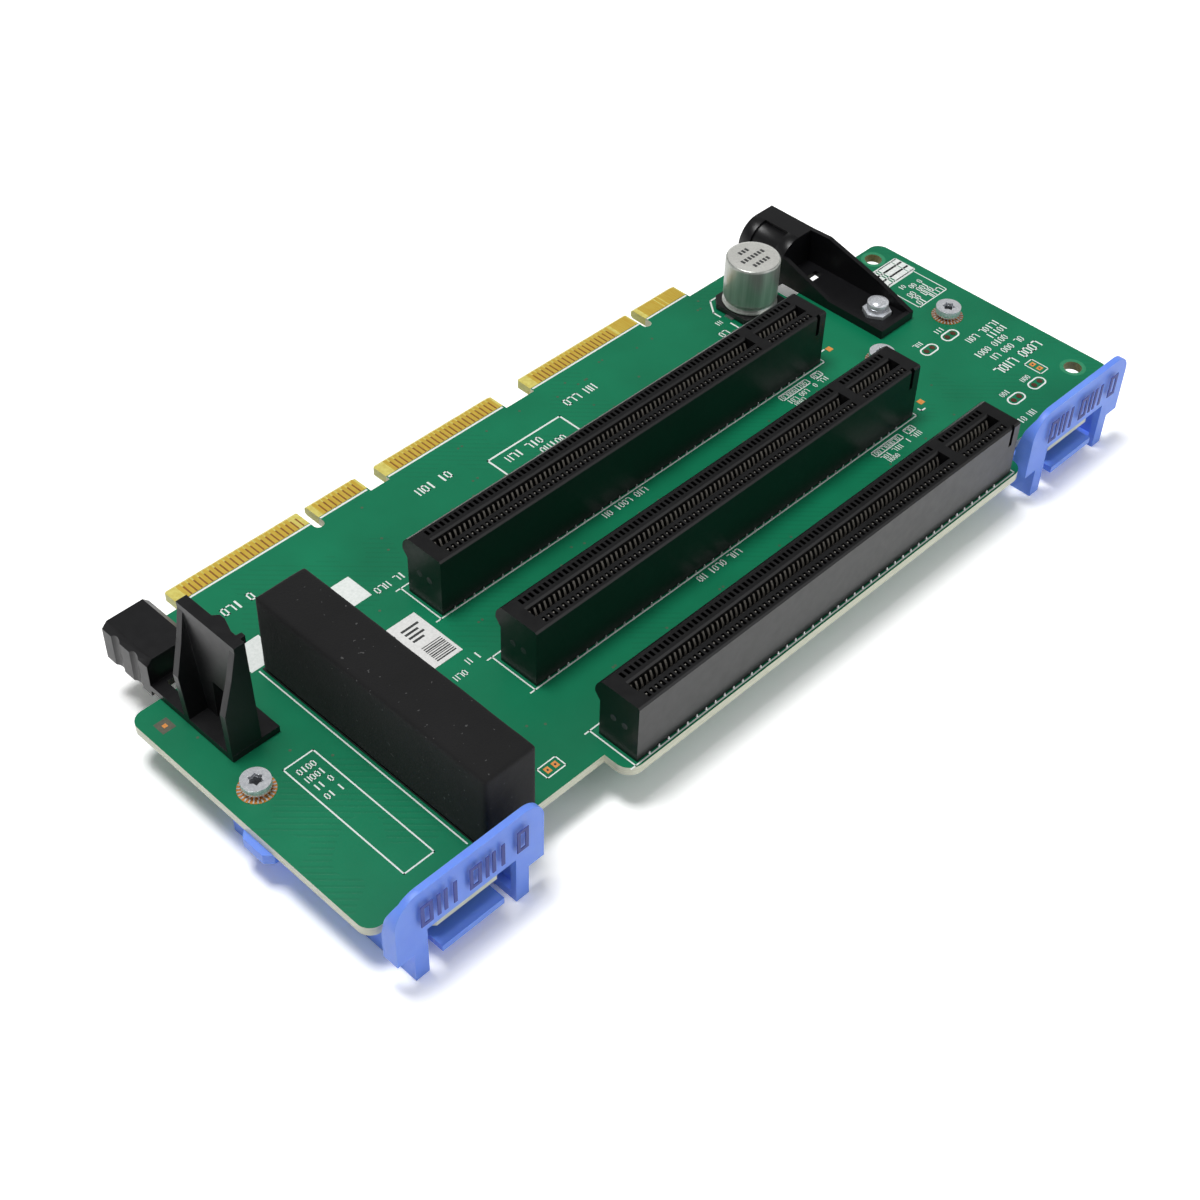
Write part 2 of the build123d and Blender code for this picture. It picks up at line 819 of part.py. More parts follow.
def build():
    """Every named piece, in the drawing frame."""
    housing = slot_housing()
    handle = lift_handle()
    screws = screw_xs()
    pieces = {
        "circuit_board": circuit_board(),
        "top_edge_fingers": fingers(1),
        "underside_edge_fingers": fingers(-1),
        "air_dam_foam": foam_block(),
        "foam_tape": foam_tape(),
        "capacitor_can": capacitor_can(),
        "capacitor_base": capacitor_base(),
        "capacitor_feet": capacitor_feet(),
        "left_guide": left_guide(),
        "right_guide": right_guide(),
        "right_guide_stud": guide_stud(),
        "left_handle": Pos(left_handle_x, 0, 0) * handle,
        "right_handle": Pos(right_handle_x, 0, 0) * handle,
        "left_handle_screws": group([handle_screw(x) for x in screws[:2]]),
        "right_handle_screws": group([handle_screw(x) for x in screws[2:]]),
        "component_pads": component_pads(),
        "code_label": code_label(),
    }
    for k, name in enumerate(("rear", "middle", "front")):
        pieces[name + "_slot_housing"] = Pos(0, -k * slot_pitch, 0) * housing
    return pieces


pieces = build()
whole = Compound([solid for piece in pieces.values() for solid in piece.solids()]).bounding_box()
centre = whole.center()
to_foot = Pos(-centre.X, -centre.Y, -whole.min.Z)
os.makedirs("parts", exist_ok=True)
for name, piece in pieces.items():
    export_step(to_foot * piece, f"parts/{name}.step")
print("size", whole.size, "moved by", -centre.X, -centre.Y, -whole.min.Z)
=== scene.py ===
import math
import random

import bmesh
import bpy
from mathutils import Matrix, Vector


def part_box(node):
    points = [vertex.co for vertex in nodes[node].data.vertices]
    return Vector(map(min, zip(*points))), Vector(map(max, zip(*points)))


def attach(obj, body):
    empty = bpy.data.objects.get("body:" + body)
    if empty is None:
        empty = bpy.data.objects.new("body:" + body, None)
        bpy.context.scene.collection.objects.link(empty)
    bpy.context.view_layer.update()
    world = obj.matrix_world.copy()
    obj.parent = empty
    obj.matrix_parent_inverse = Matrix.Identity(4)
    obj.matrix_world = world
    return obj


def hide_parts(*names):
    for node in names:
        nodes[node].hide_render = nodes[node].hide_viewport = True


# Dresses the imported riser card. Places on the card are given in millimetres in the drawing frame:
# x = 0 and y = 0 are at the rear left corner of the rear slot, z = 0 is the board's top face.

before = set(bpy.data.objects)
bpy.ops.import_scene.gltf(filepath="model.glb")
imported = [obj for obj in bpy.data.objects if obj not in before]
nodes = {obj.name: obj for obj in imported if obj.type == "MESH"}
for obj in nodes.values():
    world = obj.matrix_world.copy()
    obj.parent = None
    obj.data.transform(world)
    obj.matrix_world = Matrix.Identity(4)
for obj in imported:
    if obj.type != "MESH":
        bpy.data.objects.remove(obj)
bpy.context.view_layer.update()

# Sizes and places that several pieces share. The contacts stand 1 mm apart, in one row on each
# side of the slot's key, and each row is given by its first place and its count.
mm = 0.001
board_bottom = -1.6
tab_root_y = 22.42
slot_pitch = 20.32
slot_width = 7.5
slot_top = 11.0
slot_names = ("rear", "middle", "front")
contact_rows = ((3.0, 71), (76.0, 11))
contact_xs = [start + i for start, count in contact_rows for i in range(count)]
screw_xs = (-41.2, -22.15, 97.3, 116.3)
screw_y = -14.5
end_hole_places = ((120.1, 5.6), (120.1, -39.1))
end_hole_radius = 1.6
oval_places = [(x, y) for x in (105.9, 111.9) for y in (-18.5, -37.3)]
turned_pair = (-9.3, -40.4)
can_centre = (92.6, 12.2)
stud_place = (107.0, -5.6)

slot_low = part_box("rear_slot_housing")[0]
board_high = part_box("circuit_board")[1]
drawing_zero = Vector((slot_low[0], slot_low[1] + slot_width * mm, board_high[2]))


def at(x, y, z=0.0):
    """A place on the card, from drawing millimetres to metres in the row frame."""
    return drawing_zero + Vector((x, y, z)) * mm


# Mesh helpers; every point is in drawing millimetres

def bridge(mesh, lower, upper):
    """Faces between two closed loops that have as many points each."""
    for i in range(len(lower)):
        j = (i + 1) % len(lower)
        mesh.faces.new((lower[i], lower[j], upper[j], upper[i]))


def add_tube(mesh, loops):
    """A closed form through a list of loops, with a face over each end."""
    for lower, upper in zip(loops, loops[1:]):
        bridge(mesh, lower, upper)
    mesh.faces.new(list(reversed(loops[0])))
    mesh.faces.new(loops[-1])


def add_prism(mesh, points, z0, z1):
    """An upright prism over a flat outline."""
    low = [mesh.verts.new(at(x, y, z0)) for x, y in points]
    high = [mesh.verts.new(at(x, y, z1)) for x, y in points]
    mesh.faces.new(list(reversed(low)))
    mesh.faces.new(high)
    bridge(mesh, low, high)


def frame_points(x0, x1, y0, y1):
    """The four corners of a rectangle."""
    return [(x0, y0), (x1, y0), (x1, y1), (x0, y1)]


def add_rect(mesh, x0, x1, y0, y1, z0, z1):
    """A flat block between two values on each axis."""
    add_prism(mesh, frame_points(x0, x1, y0, y1), z0, z1)


def add_stroke(mesh, start, end, width, z0, z1):
    """A straight printed line."""
    run = Vector((end[0] - start[0], end[1] - start[1]))
    if run.length == 0:
        return
    along = run.normalized() * width / 2
    side = Vector((-along.y, along.x))
    a = Vector(start) - along
    b = Vector(end) + along
    corners = (a - side, b - side, b + side, a + side)
    add_prism(mesh, [(p.x, p.y) for p in corners], z0, z1)


def add_path(mesh, points, width, z0, z1, closed=False):
    """A printed line through several points."""
    ends = list(points)
    if closed:
        ends.append(points[0])
    for start, end in zip(ends, ends[1:]):
        add_stroke(mesh, start, end, width, z0, z1)


def circle_points(x, y, rx, ry, count):
    """Points round an oval."""
    steps = [i * math.tau / count for i in range(count)]
    return [(x + rx * math.cos(a), y + ry * math.sin(a)) for a in steps]


def add_band(mesh, inner, outer, z0, z1):
    """A flat closed band between two outlines that have as many points each."""
    loops = []
    for points, z in ((inner, z0), (outer, z0), (outer, z1), (inner, z1)):
        loops.append([mesh.verts.new(at(px, py, z)) for px, py in points])
    for k in range(4):
        bridge(mesh, loops[k], loops[(k + 1) % 4])


def add_ring(mesh, x, y, inner, outer, z0, z1):
    """A flat ring."""
    inside, outside = (circle_points(x, y, radius, radius, 48) for radius in (inner, outer))
    add_band(mesh, inside, outside, z0, z1)


def add_lathe(mesh, x, y, profile, count):
    """A turned form about an upright axis; the profile lists radius and height from the bottom up."""
    loops = []
    for radius, z in profile:
        ring = circle_points(x, y, radius, radius, count)
        loops.append([mesh.verts.new(at(px, py, z)) for px, py in ring])
    add_tube(mesh, loops)


def add_ribbon(mesh, path, x, width, thickness):
    """A bent strip of sheet metal: the path lists y and z, and the strip is this wide in x."""
    half = width / 2
    loops = []
    for i, (y, z) in enumerate(path):
        before = Vector(path[max(i - 1, 0)])
        after = Vector(path[min(i + 1, len(path) - 1)])
        run = (after - before).normalized()
        across = Vector((-run.y, run.x)) * thickness / 2
        corners = ((-half, across), (half, across), (half, -across), (-half, -across))
        loops.append([mesh.verts.new(at(x + dx, y + off.x, z + off.y)) for dx, off in corners])
    add_tube(mesh, loops)


def new_object(name, data):
    """An object in the scene that holds this mesh, lamp or camera."""
    made = bpy.data.objects.new(name, data)
    bpy.context.scene.collection.objects.link(made)
    return made


def mesh_data(name, mesh):
    """The finished mesh, ready for an object."""
    data = bpy.data.meshes.new(name)
    mesh.to_mesh(data)
    mesh.free()
    return data


def finish_piece(name, mesh, material, smooth_angle=None):
    """Makes an object of the mesh, gives it its material and lets it ride on the card."""
    bmesh.ops.recalc_face_normals(mesh, faces=mesh.faces)
    data = mesh_data(name, mesh)
    data.materials.append(material)
    piece = new_object(name, data)
    if smooth_angle is not None:
        data.shade_smooth()
        data.set_sharp_from_angle(angle=math.radians(smooth_angle))
    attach(piece, "root")
    return piece


def drawn_piece(name, material, add):
    """A piece that one function draws into one mesh."""
    mesh = bmesh.new()
    add(mesh)
    return finish_piece(name, mesh, material)


# Materials

class Surface:
    """A node material under construction, with its shader and a few often used nodes."""

    def __init__(self, name, roughness, metallic=0.0):
        self.material = bpy.data.materials.new(name)
        self.material.use_nodes = True
        self.tree = self.material.node_tree
        self.shader = self.tree.nodes["Principled BSDF"]
        self.shader.inputs["Metallic"].default_value = metallic
        self.shader.inputs["Roughness"].default_value = roughness
        self.place = self.tree.nodes.new("ShaderNodeTexCoord").outputs["Object"]

    def link(self, source, target):
        """Joins one node's output to another's input."""
        self.tree.links.new(source, target)

    def noise(self, scale, detail=2.0, stretch=(1.0, 1.0, 1.0)):
        """Noise over the object's own place, scale in features per metre."""
        mapping = self.tree.nodes.new("ShaderNodeMapping")
        mapping.inputs["Scale"].default_value = stretch
        self.link(self.place, mapping.inputs["Vector"])
        texture = self.tree.nodes.new("ShaderNodeTexNoise")
        texture.inputs["Scale"].default_value = scale
        texture.inputs["Detail"].default_value = detail
        self.link(mapping.outputs["Vector"], texture.inputs["Vector"])
        return texture.outputs["Fac"]

    def ramp(self, value, first, second):
        """First colour where the value is low, second where it is high, and a blend between."""
        node = self.tree.nodes.new("ShaderNodeValToRGB")
        stops = node.color_ramp.elements
        for i, position, colour in ((0, 0.3, first), (1, 0.7, second)):
            stops[i].position = position
            stops[i].color = (*colour, 1.0)
        self.link(value, node.inputs["Fac"])
        return node.outputs["Color"]

    def mix(self, factor, first, second):
        """First colour where the factor is 0, second where it is 1."""
        node = self.tree.nodes.new("ShaderNodeMix")
        node.data_type = "RGBA"
        self.link(factor, node.inputs["Factor"])
        for value, socket in ((first, node.inputs[6]), (second, node.inputs[7])):
            if isinstance(value, tuple):
                socket.default_value = (*value, 1.0)
            else:
                self.link(value, socket)
        return node.outputs[2]

    def math(self, operation, first, second=0.0):
        """A sum or a test on two values."""
        node = self.tree.nodes.new("ShaderNodeMath")
        node.operation = operation
        node.use_clamp = operation in ("GREATER_THAN", "LESS_THAN")
        for value, socket in ((first, node.inputs[0]), (second, node.inputs[1])):
            if isinstance(value, (int, float)):
                socket.default_value = value
            else:
                self.link(value, socket)
        return node.outputs[0]

    def split(self, vector):
        """The x, y and z of a vector."""
        node = self.tree.nodes.new("ShaderNodeSeparateXYZ")
        self.link(vector, node.inputs[0])
        return node.outputs

    def up(self):
        """1 on faces that look up, -1 on those that look down."""
        geometry = self.tree.nodes.new("ShaderNodeNewGeometry")
        return self.split(geometry.outputs["True Normal"])[2]

    def noise_grey(self, scale, low, high):
        """A grey that varies a little."""
        return self.ramp(self.noise(scale, 1.0), (low, low, low), (high, high, high))

    def show_white(self, white, near, far):
        """Where it is seen, a matte white of this strength that turns to even white further out."""
        matte = self.tree.nodes.new("ShaderNodeBsdfDiffuse")
        matte.inputs["Color"].default_value = (white, white, white, 1.0)
        glow = self.tree.nodes.new("ShaderNodeEmission")
        reach = self.tree.nodes.new("ShaderNodeVectorMath")
        reach.operation = "LENGTH"
        self.link(self.place, reach.inputs[0])
        out = self.tree.nodes.new("ShaderNodeMapRange")
        out.inputs["From Min"].default_value = near
        out.inputs["From Max"].default_value = far
        self.link(reach.outputs["Value"], out.inputs["Value"])
        white_floor = self.tree.nodes.new("ShaderNodeMixShader")
        self.link(out.outputs["Result"], white_floor.inputs["Fac"])
        self.link(matte.outputs["BSDF"], white_floor.inputs[1])
        self.link(glow.outputs["Emission"], white_floor.inputs[2])
        pick = self.tree.nodes.new("ShaderNodeMixShader")
        self.link(seen_directly(self.tree), pick.inputs["Fac"])
        self.link(self.shader.outputs["BSDF"], pick.inputs[1])
        self.link(white_floor.outputs["Shader"], pick.inputs[2])
        self.link(pick.outputs["Shader"], self.tree.nodes["Material Output"].inputs["Surface"])

    def colour(self, source):
        """Takes the shader's colour from this output."""
        self.link(source, self.shader.inputs["Base Color"])

    def rough(self, value, low, high):
        """Roughness that varies with a value."""
        node = self.tree.nodes.new("ShaderNodeMapRange")
        node.inputs["To Min"].default_value = low
        node.inputs["To Max"].default_value = high
        self.link(value, node.inputs["Value"])
        self.link(node.outputs["Result"], self.shader.inputs["Roughness"])

    def bump(self, height, depth):
        """Relief of this depth in millimetres."""
        node = self.tree.nodes.new("ShaderNodeBump")
        node.inputs["Distance"].default_value = depth * mm
        node.inputs["Strength"].default_value = 1.0
        self.link(height, node.inputs["Height"])
        self.link(node.outputs["Normal"], self.shader.inputs["Normal"])


def seen_directly(tree):
    """1 where the camera, a mirror or glass looks at the surface, 0 where it only gives light."""
    rays = tree.nodes.new("ShaderNodeLightPath")
    total = rays.outputs["Is Camera Ray"]
    for name in ("Is Glossy Ray", "Is Transmission Ray"):
        node = tree.nodes.new("ShaderNodeMath")
        node.operation = "MAXIMUM"
        tree.links.new(total, node.inputs[0])
        tree.links.new(rays.outputs[name], node.inputs[1])
        total = node.outputs[0]
    return total


def rgb(red, green, blue):
    """A colour given as screen values from 0 to 255, as linear light."""
    def linear(value):
        """One screen value as linear light."""
        value /= 255.0
        return value / 12.92 if value <= 0.04045 else ((value + 0.055) / 1.055) ** 2.4
    return (linear(red), linear(green), linear(blue))


def plastic(name, dark, light, roughness, specular=0.5):
    """Moulded plastic with a fine grain and faint flow marks."""
    surface = Surface(name, roughness)
    surface.shader.inputs["Specular IOR Level"].default_value = specular
    cloud = surface.noise(90.0, 3.0)
    surface.colour(surface.ramp(cloud, dark, light))
    fine = surface.noise(6000.0, 2.0)
    surface.rough(surface.noise(700.0, 2.0), roughness - 0.05, roughness + 0.08)
    surface.bump(fine, 0.004)
    return surface.material


def metal(name, dark, light, roughness, metallic=1.0, stretch=(1.0, 1.0, 1.0), grain=4000.0, depth=0.005):
    """Bare metal with a fine grain that may be drawn out along one direction."""
    surface = Surface(name, roughness, metallic)
    streaks = surface.noise(grain, 3.0, stretch)
    surface.colour(surface.ramp(streaks, dark, light))
    surface.rough(surface.noise(900.0, 2.0), max(roughness - 0.06, 0.02), roughness + 0.1)
    surface.bump(streaks, depth)
    return surface.material


def board_material():
    """Green solder mask with faint traces on the flat faces, pale laminate on the cut edges."""
    surface = Surface("board_mask", 0.34)
    surface.shader.inputs["Specular IOR Level"].default_value = 0.35
    cloud = surface.noise(60.0, 4.0)
    mask = surface.ramp(cloud, rgb(7, 113, 77), rgb(11, 127, 88))
    place = surface.split(surface.place)
    lines = surface.tree.nodes.new("ShaderNodeTexWave")
    lines.bands_direction = "DIAGONAL"
    lines.inputs["Scale"].default_value = 420.0
    lines.inputs["Distortion"].default_value = 0.4
    surface.link(surface.place, lines.inputs["Vector"])
    area_mask = surface.math("GREATER_THAN", surface.noise(75.0, 1.0), 0.56)
    thin = surface.math("GREATER_THAN", lines.outputs["Fac"], 0.72)
    traces = surface.math("MULTIPLY", surface.math("MULTIPLY", area_mask, thin), 0.16)
    mask = surface.mix(traces, mask, rgb(4, 88, 58))
    layers = surface.noise(1500.0, 3.0, (0.2, 0.2, 3.0))
    laminate = surface.ramp(layers, rgb(204, 206, 182), rgb(226, 228, 208))
    bare = surface.ramp(surface.noise(1500.0, 3.0), rgb(206, 190, 92), rgb(222, 212, 118))
    on_tab = surface.math("GREATER_THAN", place[1], at(0, tab_root_y)[1])
    flat = surface.mix(on_tab, mask, bare)
    edge = surface.math("LESS_THAN", surface.math("ABSOLUTE", surface.up()), 0.5)
    tab_edge = surface.mix(on_tab, laminate, rgb(206, 204, 120))
    surface.colour(surface.mix(edge, flat, tab_edge))
    weave = surface.noise(2600.0, 2.0)
    surface.rough(weave, 0.28, 0.42)
    surface.bump(surface.math("ADD", surface.math("MULTIPLY", weave, 0.4), traces), 0.015)
    return surface.material


def foam_material():
    """Fine black cloth over foam: a close grain, a soft sheen and a few light specks."""
    surface = Surface("foam_cloth", 0.8)
    surface.shader.inputs["Sheen Weight"].default_value = 0.06
    surface.shader.inputs["Sheen Roughness"].default_value = 0.5
    surface.shader.inputs["Specular IOR Level"].default_value = 0.3
    cloud = surface.noise(70.0, 4.0)
    base = surface.ramp(cloud, rgb(10, 10, 11), rgb(19, 19, 20))
    speck = surface.math("GREATER_THAN", surface.noise(1500.0, 1.0), 0.76)
    surface.colour(surface.mix(surface.math("MULTIPLY", speck, 0.4), base, rgb(110, 110, 110)))
    grain = surface.noise(3800.0, 3.0)
    surface.bump(surface.math("ADD", grain, surface.math("MULTIPLY", cloud, 2.0)), 0.04)
    return surface.material


def handle_material():
    """Soft looking blue moulding with light in its edges."""
    surface = Surface("handle_plastic", 0.42)
    cloud = surface.noise(120.0, 3.0)
    surface.colour(surface.ramp(cloud, rgb(106, 146, 247), rgb(116, 156, 252)))
    surface.shader.inputs["Subsurface Weight"].default_value = 0.25
    surface.shader.inputs["Subsurface Radius"].default_value = (0.2, 0.4, 1.0)
    surface.shader.inputs["Subsurface Scale"].default_value = 0.0012
    surface.rough(surface.noise(900.0, 2.0), 0.36, 0.5)
    surface.bump(surface.noise(5200.0, 2.0), 0.012)
    return surface.material


def can_material():
    """Drawn aluminium: upright draw marks on the wall, a paler coat on the top."""
    surface = Surface("can_metal", 0.36, 0.55)
    streaks = surface.noise(1500.0, 3.0, (1.0, 1.0, 0.04))
    wall = surface.ramp(streaks, rgb(158, 162, 156), rgb(190, 193, 187))
    top = surface.ramp(surface.noise(2600.0, 3.0), rgb(226, 226, 220), rgb(242, 242, 236))
    upward = surface.math("GREATER_THAN", surface.up(), 0.9)
    surface.colour(surface.mix(upward, wall, top))
    surface.rough(streaks, 0.24, 0.42)
    surface.bump(streaks, 0.006)
    return surface.material


def ink_material(name, dark, light):
    """Screen printed ink, paper or a bare face of the board, a little uneven."""
    surface = Surface(name, 0.55)
    surface.colour(surface.ramp(surface.noise(2400.0, 3.0), dark, light))
    surface.bump(surface.noise(5200.0, 2.0), 0.008)
    return surface.material


black_plastic = plastic("slot_plastic", rgb(9, 9, 10), rgb(14, 14, 16), 0.34, specular=0.42)
guide_plastic = plastic("guide_plastic", rgb(12, 12, 14), rgb(19, 19, 21), 0.34, specular=0.4)
base_plastic = plastic("base_plastic", rgb(14, 14, 14), rgb(24, 24, 24), 0.45)
blue_plastic = handle_material()
# Handle marks: a darker blue than the handle, painted shade for engraved lettering.
engraving_shade_plastic = plastic("handle_mark", rgb(36, 50, 132), rgb(48, 64, 152), 0.5)
green_mask = board_material()
foam_cloth = foam_material()
can_metal = can_material()
gold = metal(
    "finger_gold", rgb(242, 198, 66), rgb(253, 224, 104), 0.3,
    metallic=0.55, stretch=(8.0, 0.3, 1.0), grain=1500.0,
)
copper = metal("pad_copper", rgb(208, 126, 52), rgb(238, 168, 96), 0.38)
bare_copper = ink_material("bare_pad", rgb(214, 134, 52), rgb(232, 158, 84))
solder = metal("solder", rgb(206, 208, 208), rgb(238, 240, 240), 0.28, metallic=0.7)
spring_metal = metal("spring_metal", rgb(150, 147, 140), rgb(182, 178, 170), 0.34, metallic=0.6)
steel = metal(
    "screw_steel", rgb(212, 216, 222), rgb(242, 244, 248), 0.24,
    metallic=0.5, stretch=(1.0, 1.0, 0.2), grain=2600.0, depth=0.002,
)
lead_metal = metal("lead_metal", rgb(178, 180, 178), rgb(214, 216, 214), 0.34)
white_ink = ink_material("white_ink", rgb(226, 232, 228), rgb(242, 246, 243))
dark_ink = ink_material("dark_ink", rgb(44, 46, 46), rgb(62, 64, 64))
label_paper = ink_material("label_paper", rgb(226, 226, 224), rgb(240, 240, 238))
# Laminate between the fingers: its own brown, darkened further with painted shade.
gap_laminate_shade = ink_material("finger_gap", rgb(124, 74, 18), rgb(150, 94, 30))
ring_green = ink_material("thin_mask", rgb(34, 134, 92), rgb(46, 144, 102))
hole_olive = ink_material("hole_wall", rgb(128, 122, 78), rgb(156, 150, 102))
pad_brown = ink_material("oval_pad", rgb(66, 34, 18), rgb(88, 48, 26))
# Slot dimples: a paler grey than the housing, a painted highlight for the light the dimples catch.
dimple_highlight_grey = ink_material("dimple", rgb(52, 50, 54), rgb(66, 64, 68))
# Painted shade in the screws' star recesses: a dark grey metal laid on the recess floors.
recess_painted_shade = metal("screw_recess", rgb(70, 72, 76), rgb(96, 98, 102), 0.3, depth=0.002)
bare_grey = ink_material("bare_laminate", rgb(82, 84, 70), rgb(98, 98, 82))
via_brown = ink_material("via_mark", rgb(52, 92, 64), rgb(74, 100, 72))

node_materials = {
    "circuit_board": green_mask,
    "top_edge_fingers": gold,
    "underside_edge_fingers": gold,
    "rear_slot_housing": black_plastic,
    "middle_slot_housing": black_plastic,
    "front_slot_housing": black_plastic,
    "air_dam_foam": foam_cloth,
    "capacitor_can": can_metal,
    "capacitor_base": base_plastic,
    "capacitor_feet": lead_metal,
    "left_guide": guide_plastic,
    "right_guide": guide_plastic,
    "right_guide_stud": steel,
    "left_handle": blue_plastic,
    "right_handle": blue_plastic,
    "left_handle_screws": steel,
    "right_handle_screws": steel,
    "foam_tape": base_plastic,
    "component_pads": bare_copper,
    "code_label": label_paper,
}
for name, material in node_materials.items():
    node = nodes[name]
    if not node.material_slots:
        node.data.materials.append(material)
    for material_slot in node.material_slots:
        material_slot.material = material


def add_weld(piece):
    """Joins the piece's points that lie on each other."""
    weld = piece.modifiers.new("weld", "WELD")
    weld.merge_threshold = 0.002 * mm


def soften(name, width):
    """Rounds a CAD node's sharp edges in the render."""
    node = nodes[name]
    add_weld(node)
    bevel = node.modifiers.new("bevel", "BEVEL")
    bevel.width = width * mm
    bevel.segments = 2
    bevel.limit_method = "ANGLE"
    bevel.angle_limit = math.radians(35)
    bevel.harden_normals = True


for name, width in (
    ("left_handle", 0.3), ("right_handle", 0.3), ("left_guide", 0.15), ("right_guide", 0.15),
    ("left_handle_screws", 0.12), ("right_handle_screws", 0.12), ("capacitor_base", 0.12),
    ("right_guide_stud", 0.12),
):
    soften(name, width)


# White print on the board

ink_top = 0.02
line = 0.24
thin_line = 0.2
chance = random.Random(7)


def print_line(mesh, start, end, width=line):
    """A straight line of ink."""
    add_stroke(mesh, start, end, width, 0.0, ink_top)


def print_path(mesh, points, width=line, closed=False):
    """A line of ink through several points."""
    add_path(mesh, points, width, 0.0, ink_top, closed)


def print_patch(mesh, x0, x1, y0, y1):
    """A filled patch of ink."""
    add_rect(mesh, x0, x1, y0, y1, 0.0, ink_top)


def print_box(mesh, x0, x1, y0, y1, width=line):
    """A frame of ink."""
    print_path(mesh, frame_points(x0, x1, y0, y1), width, True)


def add_glyph(mesh, x, y, width, height, stroke):
    """One plain mark of a row of print: a frame, a bar, a pair of bars or a step."""
    kind = chance.choice(("frame", "frame", "bars", "bar", "step"))
    right = x + width
    top = y + height
    if kind == "frame":
        print_box(mesh, x, right, y, top, stroke)
    elif kind == "bars":
        print_line(mesh, (x, y), (x, top), stroke)
        print_line(mesh, (right, y), (right, top), stroke)
    elif kind == "bar":
        print_line(mesh, (x + width / 2, y), (x + width / 2, top), stroke * 1.4)
    else:
        print_path(mesh, [(x, top), (right, top), (right, y)], stroke)


def add_row(mesh, x0, x1, y, height, gaps=()):
    """A row of plain marks in the place of a line of print, centred on y; gaps are skipped marks."""
    width = 0.5 * height
    step = 0.82 * height
    count = int((x1 - x0 + step - width) / step + 1e-6)
    for i in range(count):
        if i not in gaps:
            add_glyph(mesh, x0 + i * step, y - height / 2, width, height, 0.17 * height)


def stadium_points(x, y, reach, radius):
    """Points round a shape with straight long sides and round ends."""
    points = []
    for i in range(24):
        angle = (i + 0.5) * math.tau / 24
        side = math.copysign(reach - radius, math.cos(angle))
        points.append((x + side + radius * math.cos(angle), y + radius * math.sin(angle)))
    return points


def print_tab_roots(mesh):
    """Lines at the roots of the edge tabs."""
    for x0, x1 in ((-26.6, -1.4), (1.0, 10.4), (15.3, 40.6), (48.0, 74.1), (76.5, 86.5)):
        print_line(mesh, (x0, tab_root_y - 0.3), (x1, tab_root_y - 0.3), 0.36)


def print_slots(mesh):
    """Outlines of the three slots, with corner marks and the rows beside them."""
    left = -0.6
    right = 89.8
    for k in range(3):
        rear = 1.3 - k * slot_pitch
        front = -7.88 - k * slot_pitch
        print_box(mesh, left, right, front, rear)
        print_line(mesh, (left, front), (left - 0.9, front))
        print_line(mesh, (left, rear), (left - 0.9, rear))
        print_line(mesh, (right, rear), (right + 0.8, rear))
    for y in (-9.0, -29.35):
        add_row(mesh, 33.6, 44.0, y, 1.1, (2, 7))
        print_box(mesh, 76.4, 83.6, y - 0.95, y + 0.35, thin_line)
        add_row(mesh, 76.9, 83.2, y - 0.3, 0.85)
        print_box(mesh, 84.9, 87.0, y - 0.95, y + 0.35, thin_line)
        add_row(mesh, 85.3, 86.7, y - 0.3, 0.85)
        add_row(mesh, 76.8, 82.4, y - 1.9, 0.9, (3,))
        add_row(mesh, 83.4, 87.2, y - 1.9, 0.9, (1,))
        add_row(mesh, 77.2, 79.8, y - 3.0, 0.8)
    add_row(mesh, -3.8, 2.4, 3.4, 1.2, (3,))
    add_row(mesh, -3.9, -0.9, -17.2, 1.1, (1,))
    add_row(mesh, -7.5, -5.1, -18.5, 1.0)


def print_behind_slots(mesh):
    """Rows near the edge tabs, framed rows behind the rear slot and the capacitor's outline."""
    add_row(mesh, -23.4, -17.6, 15.9, 1.5, (3,))
    add_row(mesh, 15.9, 22.8, 15.8, 1.5, (3,))
    add_row(mesh, 49.1, 56.3, 15.4, 1.5, (3,))
    print_box(mesh, 29.4, 46.0, 1.9, 13.7, 0.34)
    add_row(mesh, 32.0, 40.4, 11.7, 1.4, (3,))
    add_row(mesh, 37.6, 43.8, 9.3, 1.4)
    add_row(mesh, 32.0, 41.0, 6.9, 1.4, (2,))
    add_row(mesh, 84.1, 85.6, 12.4, 0.9)
    add_row(mesh, 82.3, 85.0, 9.7, 1.3)
    print_path(mesh, [(98.8, 12.0), (98.8, 6.4), (88.4, 6.4), (86.3, 8.6), (86.3, 10.9)], 0.3)
    print_path(mesh, [(86.3, 13.5), (86.3, 15.1), (88.5, 17.9), (98.8, 17.9)], 0.3)


def print_left_end(mesh):
    """The foam's line, a long frame with rows, and two filled patches."""
    print_line(mesh, (-27.0, 2.6), (-27.0, -42.0))
    print_box(mesh, -36.5, -31.1, -39.9, -14.5)
    for y in (-16.4, -18.3, -20.2, -22.4):
        add_row(mesh, -35.4, -32.3, y, 1.0, (2,) if y < -20 else ())
    print_patch(mesh, -9.7, -4.7, 3.3, 8.9)
    print_patch(mesh, -28.0, -22.4, 3.2, 8.7)


